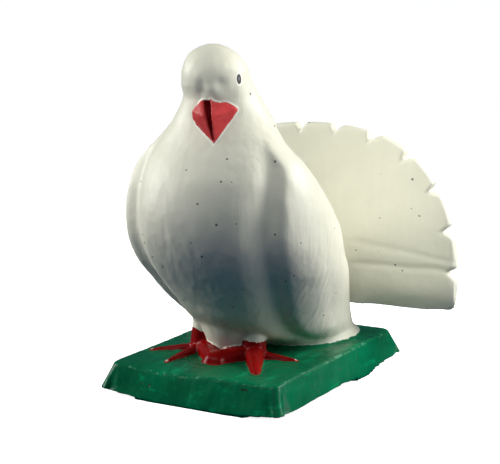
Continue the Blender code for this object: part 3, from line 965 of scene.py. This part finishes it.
# %% Eyes
EYE_HALF_WIDTH, EYE_HALF_HEIGHT = 1.7 * MM, 2.9 * MM
EYE_RIM, GLINT_RIM, RING_RIM = (0.95, 1.05), (0.30, 0.55), (1.30, 1.50)
NEAR_EYE, FAR_EYE = head_place(8.1, 10.4, 89.8), head_place(-10.6, 4.6, 86.9)


def oval(centre, half_width, half_height):
    """Distance from the centre of an oval, where 1 is its rim."""
    offset = add("VectorMath", operation="SUBTRACT")
    tree.links.new(place, offset.inputs[0])
    offset.inputs[1].default_value = centre
    scaled = add("VectorMath", operation="DIVIDE")
    tree.links.new(offset.outputs[0], scaled.inputs[0])
    scaled.inputs[1].default_value = (half_width, half_width, half_height)
    length = add("VectorMath", operation="LENGTH")
    tree.links.new(scaled.outputs[0], length.inputs[0])
    return length.outputs["Value"]


near_oval, far_oval = (oval(eye, EYE_HALF_WIDTH, EYE_HALF_HEIGHT) for eye in (NEAR_EYE, FAR_EYE))
eye = sums("MINIMUM", near_oval, far_oval)
in_eye, in_glint, in_ring = (below(eye, *rim) for rim in (EYE_RIM, GLINT_RIM, RING_RIM))
print("near eye stands", in_mm(NEAR_EYE.z), "mm above the floor")

# %% [markdown]
# ## Colours of the white, the red and the green
# The white is a warm cream with faint grey dirt in upright streaks, and a fresh white line round
# the eyes and the beak. The red and the green are darker where the paint ran thick, and the green
# has lighter brush strokes. The beak's red is painted lighter and rosier than the legs' as a
# painted sheen, and its groove is painted dark red as painted shade.

# %% Mix the colours
CREAM, LIGHT_CREAM = (0.74, 0.73, 0.59, 1), (0.84, 0.83, 0.68, 1)
DIRTY_CREAM, FRESH_WHITE = (0.62, 0.61, 0.49, 1), (0.94, 0.93, 0.82, 1)
DEEP_RED, LEG_RED = (0.16, 0.001, 0.001, 1), (0.32, 0.003, 0.003, 1)
SHEEN_LIT_BEAK_RED, SHEEN_ROSY_RED = (0.50, 0.035, 0.035, 1), (0.66, 0.085, 0.085, 1)
GROOVE_SHADE_RED = (0.10, 0.001, 0.002, 1)
DEEP_GREEN, GREEN = (0.0, 0.055, 0.022, 1), (0.0, 0.21, 0.085, 1)
STROKE_GREEN = (0.001, 0.33, 0.13, 1)
BLACK, GLINT_GREY = (0.008, 0.008, 0.010, 1), (0.10, 0.10, 0.11, 1)
DIRT_SHARE, STROKE_SHARE = 0.25, 0.55
LINE_START, LINE_END = (0.7, 1.0), (1.3, 1.8)
patchy = cloud(28, 4.0)
streaks = cloud(240, 3.0, (1.0, 1.0, 0.22))
cream = mix(patchy, CREAM, LIGHT_CREAM)
cream = mix(sums("MULTIPLY", streaks, DIRT_SHARE), cream, DIRTY_CREAM)
outside_beak = ramp(attribute("beak_gap"), *LINE_START)
beak_line = sums("MULTIPLY", outside_beak, below(attribute("beak_gap"), *LINE_END))
cream = mix(sums("MAXIMUM", in_ring, beak_line), cream, FRESH_WHITE)
red = mix(cloud(90, 4.0), DEEP_RED, LEG_RED)
# The beak's lighter, rosier red is a painted sheen on the same red paint as the legs.
red = mix(in_beak, red, mix(cloud(220, 4.0), SHEEN_LIT_BEAK_RED, SHEEN_ROSY_RED))
# The dark red in the beak's groove is painted shade.
red = mix(in_groove, red, GROOVE_SHADE_RED)
green = mix(cloud(60, 5.0, (1.0, 0.35, 1.0)), DEEP_GREEN, GREEN)
strokes = ramp(cloud(130, 4.0, (1.0, 0.22, 1.6)), 0.55, 0.70)
green = mix(sums("MULTIPLY", strokes, STROKE_SHARE), green, STROKE_GREEN)
black = mix(in_glint, BLACK, GLINT_GREY)
print("colours mixed with", len(tree.nodes), "nodes so far")

# %% [markdown]
# ## Painted highlight on the slab, chips, and wear on the toes
# A highlight is painted in pale green scraps along the slab's front and right top edges, a few
# dark chips show on the slab's sides, and the toes' tips are worn pale. Each chip is an oval with
# an uneven rim, given by its place and half sizes.

# %% Painted highlight, wear, and the paints put together
FRONT_FACE, RIGHT_FACE = -SLAB_LENGTH / 2 + 3 * MM, SLAB_WIDTH / 2 - 3 * MM
CHIPS = (
    ((0.036, FRONT_FACE, 0.0150), 3.4 * MM, 0.8 * MM),
    ((RIGHT_FACE, -0.068, 0.0165), 1.5 * MM, 0.9 * MM),
    ((RIGHT_FACE, -0.072, 0.0060), 1.2 * MM, 1.2 * MM),
    ((RIGHT_FACE, -0.040, 0.0100), 0.9 * MM, 0.9 * MM),
)
EDGE_HIGHLIGHT_GREEN, WORN_RED = (0.16, 0.44, 0.27, 1), (0.70, 0.45, 0.38, 1)
CHIP_DARK = (0.02, 0.02, 0.015, 1)
EDGE_HIGHLIGHT_SHARE, CHIP_SHARE = 0.8, 0.85
WORN_TIP, TIP_LIFT, SLIM_TOE = 1.1 * MM, 0.8 * MM, 2
tips = [tip for leg in LEGS.values() for tip, _, thin in leg["toes"] if thin < SLIM_TOE]
# A lighter green highlight is painted in scraps along the slab's front and right top edges.
edge_highlight = sums("MULTIPLY", attribute("top_edge"), ramp(cloud(300, 3.0), 0.52, 0.62))
green = mix(sums("MULTIPLY", edge_highlight, EDGE_HIGHLIGHT_SHARE), green, EDGE_HIGHLIGHT_GREEN)
for spot, half_width, half_height in CHIPS:
    rim = sums("MULTIPLY_ADD", wander, 1.2, oval(spot, half_width, half_height))
    green = mix(sums("MULTIPLY", below(rim, 0.8, 1.1), CHIP_SHARE), green, CHIP_DARK)
for x, y in tips:
    tip = oval((x * PERCENT, y * PERCENT, SLAB_HEIGHT + TIP_LIFT), WORN_TIP, WORN_TIP)
    red = mix(below(tip, 0.7, 1.0), red, WORN_RED)
colour = mix(in_green, cream, green)
colour = mix(in_red, colour, red)
colour = mix(in_eye, colour, black)
print(len(CHIPS), "chips and", len(tips), "worn toe tips")

# %% [markdown]
# ## Pinholes
# Air bubbles in the slip left pinholes, most plain to see on the fan. A cell pattern gives one
# point in each cell, and only some of the cells get a hole. The cell's own random colour decides
# which.

# %% Pinholes
CELLS_PER_METRE = 190
HOLE_DARK, HOLE_SHARE = (0.07, 0.065, 0.045, 1), 0.85
HOLE_PICK, HOLE_SIZES, HOLE_RIM = (0.64, 1.0), (-0.05, 0.15), (-0.03, 0.02)
cells = add("TexVoronoi")
cells.inputs["Scale"].default_value = CELLS_PER_METRE
tree.links.new(place, cells.inputs["Vector"])
pick = add("SeparateColor")
tree.links.new(cells.outputs["Color"], pick.inputs[0])
hole_size = ramp(pick.outputs[0], *HOLE_PICK, *HOLE_SIZES)
in_hole = below(sums("SUBTRACT", cells.outputs["Distance"], hole_size), *HOLE_RIM)
in_hole = sums("MULTIPLY", in_hole, sums("SUBTRACT", 1.0, in_red))
colour = mix(sums("MULTIPLY", in_hole, HOLE_SHARE), colour, HOLE_DARK)
print("pinhole cells are about", in_mm(1 / CELLS_PER_METRE), "mm wide")

# %% [markdown]
# ## Gloss and brush marks
# Paint on a casting shows fine brush marks and small runs. They are too fine for the mesh, so a
# bump does them, and the shader's roughness tells satin from gloss.

# %% Finish the paint
BUMP_STRENGTH, BUMP_HEIGHT, HOLE_DEPTH = 0.65, 0.4 * MM, 1.5
SATIN, GLOSSIER = (0.42, 0.55), 0.2
SHINE_WHITE, SHINE_LOSS, GROOVE_LOSS = 0.5, 0.38, 0.10
shader = add("BsdfPrincipled")
shader.inputs["Metallic"].default_value = 0.0
shader.inputs["IOR"].default_value = 1.5
tree.links.new(colour, shader.inputs["Base Color"])
glossy = sums("MAXIMUM", in_red, in_green)
roughness = sums("MULTIPLY_ADD", glossy, -GLOSSIER, ramp(patchy, 0.2, 0.8, *SATIN))
tree.links.new(roughness, shader.inputs["Roughness"])
shine = sums("MULTIPLY_ADD", glossy, -SHINE_LOSS, SHINE_WHITE)
shine = sums("MULTIPLY_ADD", in_groove, -GROOVE_LOSS, shine)
tree.links.new(shine, shader.inputs["Specular IOR Level"])
marks = sums("MULTIPLY_ADD", cloud(420, 3.0, (1.0, 1.0, 0.3)), 0.5, cloud(150, 4.0))
bump = add("Bump")
bump.inputs["Strength"].default_value = BUMP_STRENGTH
bump.inputs["Distance"].default_value = BUMP_HEIGHT
tree.links.new(sums("MULTIPLY_ADD", in_hole, -HOLE_DEPTH, marks), bump.inputs["Height"])
tree.links.new(bump.outputs[0], shader.inputs["Normal"])
output = add("OutputMaterial")
tree.links.new(shader.outputs[0], output.inputs[0])
pigeon.data.materials.clear()
pigeon.data.materials.append(paint)
print("paint has", len(tree.nodes), "nodes")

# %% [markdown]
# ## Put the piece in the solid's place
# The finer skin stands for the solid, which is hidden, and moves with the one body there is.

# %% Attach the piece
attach(pigeon, "root")
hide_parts("pigeon_figurine")
print(pigeon.name, "stands for the solid")

# %% [markdown]
# ## Floor
# A pale matt floor that bends up into a wall all round, so no horizon shows. It glows a little,
# which keeps it pale under weak lamps, and it neither lights the pigeon nor shows in its gloss.

# %% Floor
SWEEP_RADIUS, BEND_RADIUS, WALL_HEIGHT = 2.4, 0.9, 3.0
BEND_STEPS, SWEEP_STEPS = 12, 96
bm = bmesh.new()
profile = [bm.verts.new((r, 0, 0)) for r in (0.0, 0.5, 1.0, SWEEP_RADIUS)]
for step in range(1, BEND_STEPS + 1):
    angle = math.pi / 2 * step / BEND_STEPS
    along = SWEEP_RADIUS + BEND_RADIUS * math.sin(angle)
    profile.append(bm.verts.new((along, 0, BEND_RADIUS * (1 - math.cos(angle)))))
profile.append(bm.verts.new((SWEEP_RADIUS + BEND_RADIUS, 0, WALL_HEIGHT)))
edges = [bm.edges.new(pair) for pair in zip(profile, profile[1:])]
bmesh.ops.spin(bm, geom=profile + edges, cent=(0, 0, 0), axis=(0, 0, 1), angle=2 * math.pi,
               steps=SWEEP_STEPS, use_merge=True)
bmesh.ops.remove_doubles(bm, verts=bm.verts, dist=HAIR)
bmesh.ops.recalc_face_normals(bm, faces=bm.faces)
floor_mesh = bpy.data.meshes.new("floor")
bm.to_mesh(floor_mesh)
bm.free()
floor_mesh.shade_smooth()
floor = bpy.data.objects.new("floor", floor_mesh)
bpy.context.scene.collection.objects.link(floor)
floor_paint = bpy.data.materials.new("floor_paint")
floor_paint.use_nodes = True
floor_shader = floor_paint.node_tree.nodes["Principled BSDF"]
floor_shader.inputs["Base Color"].default_value = (0.88, 0.88, 0.87, 1)
floor_shader.inputs["Roughness"].default_value = 0.9
floor_shader.inputs["Emission Color"].default_value = (1.0, 1.0, 1.0, 1)
floor_shader.inputs["Emission Strength"].default_value = 0.9
floor.data.materials.append(floor_paint)
floor.visible_diffuse = False
floor.visible_glossy = False
print("floor sweep has", len(floor_mesh.polygons), "faces")

# %% [markdown]
# ## Lamps
# Four large soft lamps, as in a small photo studio: one on each side of the pigeon as the camera
# sees it, a weak low one that fills the right side, and a wide weak one high up. None stands close
# to the camera, so the breast falls into shade as it does in the picture. Two small lamps with
# narrow beams stand beside the camera and above it. They lift the fan and the face, which a soft
# lamp can't brighten without the breast too.

# %% Soft lamps
CAMERA_SIDE, CAMERA_RIGHT = Vector((0.49492, -0.86894, 0)), Vector((0.86894, 0.49492, 0))
LAMP_AIM = Vector((0, 0, 0.1))


def hang(name, data, location, turn):
    """Puts a lamp at a place, turned by a quaternion."""
    holder = bpy.data.objects.new(name, data)
    holder.location = location
    holder.rotation_mode = "QUATERNION"
    holder.rotation_quaternion = turn
    bpy.context.scene.collection.objects.link(holder)


def soft_lamp(name, sideways, rise, power, far=0.9, size=0.50, tint=(1.0, 0.99, 0.96)):
    """A round lamp, placed by its angle from the camera's side and its angle above the floor."""
    turn, lift = math.radians(sideways), math.radians(rise)
    level_way = CAMERA_SIDE * math.cos(turn) + CAMERA_RIGHT * math.sin(turn)
    way = level_way * math.cos(lift) + Vector((0, 0, math.sin(lift)))
    data = bpy.data.lights.new(name, "AREA")
    data.shape = "DISK"
    data.size = size
    data.energy = power
    data.color = tint
    hang(name, data, way * far + LAMP_AIM, way.to_track_quat("Z", "Y"))


soft_lamp("right_lamp", sideways=98, rise=28, power=8.5)
soft_lamp("right_fill", sideways=76, rise=8, power=2.2, tint=(1.0, 1.0, 1.0))
soft_lamp("left_lamp", sideways=-100, rise=18, power=6.8)
soft_lamp("high_lamp", sideways=-25, rise=54, power=3.0, far=1.0, size=0.80, tint=(1.0, 0.99, 0.94))
print(len(bpy.data.lights), "soft lamps")


# %% Narrow lamps
def narrow_lamp(name, stand, aim, cone, power):
    """A small lamp with a narrow soft-edged beam, given by its place, its aim and its cone."""
    data = bpy.data.lights.new(name, "SPOT")
    data.energy = power
    data.spot_size = math.radians(cone)
    data.spot_blend = 0.9
    data.shadow_soft_size = 0.05
    data.color = (1.0, 0.99, 0.95)
    hang(name, data, stand, (Vector(aim) - Vector(stand)).to_track_quat("-Z", "Y"))


narrow_lamp("fan_lamp", stand=(0.50, -0.52, 0.45), aim=(0.085, 0.080, 0.122), cone=15, power=11.5)
narrow_lamp("face_lamp", stand=(0.56, -0.62, 0.42), aim=(0.0, -0.058, 0.182), cone=7.5, power=9.0)
print(len(bpy.data.lights), "lamps in all")

# %% [markdown]
# ## The room's own light
# What the lamps don't reach is lit by the room: dark blue from the level of the floor, paler from
# above. That gives the cool shade under the breast.

# %% Room light
LOW_BLUE, HIGH_PALE = (0.013, 0.035, 0.085, 1), (0.13, 0.15, 0.18, 1)
world = bpy.data.worlds.new("studio")
bpy.context.scene.world = world
world.use_nodes = True
sky = world.node_tree
direction = sky.nodes.new("ShaderNodeTexCoord")
parts = sky.nodes.new("ShaderNodeSeparateXYZ")
sky.links.new(direction.outputs["Generated"], parts.inputs[0])
rise = sky.nodes.new("ShaderNodeValToRGB")
rise.color_ramp.elements[0].position = 0.45
rise.color_ramp.elements[0].color = LOW_BLUE
rise.color_ramp.elements[1].position = 1.0
rise.color_ramp.elements[1].color = HIGH_PALE
lift = sky.nodes.new("ShaderNodeMath")
lift.operation = "MULTIPLY_ADD"
lift.inputs[1].default_value = 0.5
lift.inputs[2].default_value = 0.5
sky.links.new(parts.outputs[2], lift.inputs[0])
sky.links.new(lift.outputs[0], rise.inputs[0])
sky.links.new(rise.outputs[0], sky.nodes["Background"].inputs["Color"])
sky.nodes["Background"].inputs["Strength"].default_value = 1.0
print("the room is", LOW_BLUE[:3], "at the floor and", HIGH_PALE[:3], "overhead")

# %% [markdown]
# ## Camera
# The camera stands where the photograph was taken: ahead of the bird, to its left and a little
# above. Its place, its direction and its lens were worked out from corners that the picture shows.

# %% Camera
CAMERA_PLACE = (0.408283, -0.726101, 0.238111)
CAMERA_BACK = Vector((0.487117, -0.855245, 0.176840))
view = bpy.data.cameras.new("camera")
view.sensor_width = 36
view.lens = 100.8
view.clip_start = 0.05
camera = bpy.data.objects.new("camera", view)
camera.location = CAMERA_PLACE
camera.rotation_mode = "QUATERNION"
camera.rotation_quaternion = (-CAMERA_BACK).to_track_quat("-Z", "Y")
bpy.context.scene.collection.objects.link(camera)
bpy.context.scene.camera = camera
bpy.context.scene.view_settings.view_transform = "Standard"
print("camera stands", in_mm(Vector(CAMERA_PLACE).length), "mm from the middle of the slab")
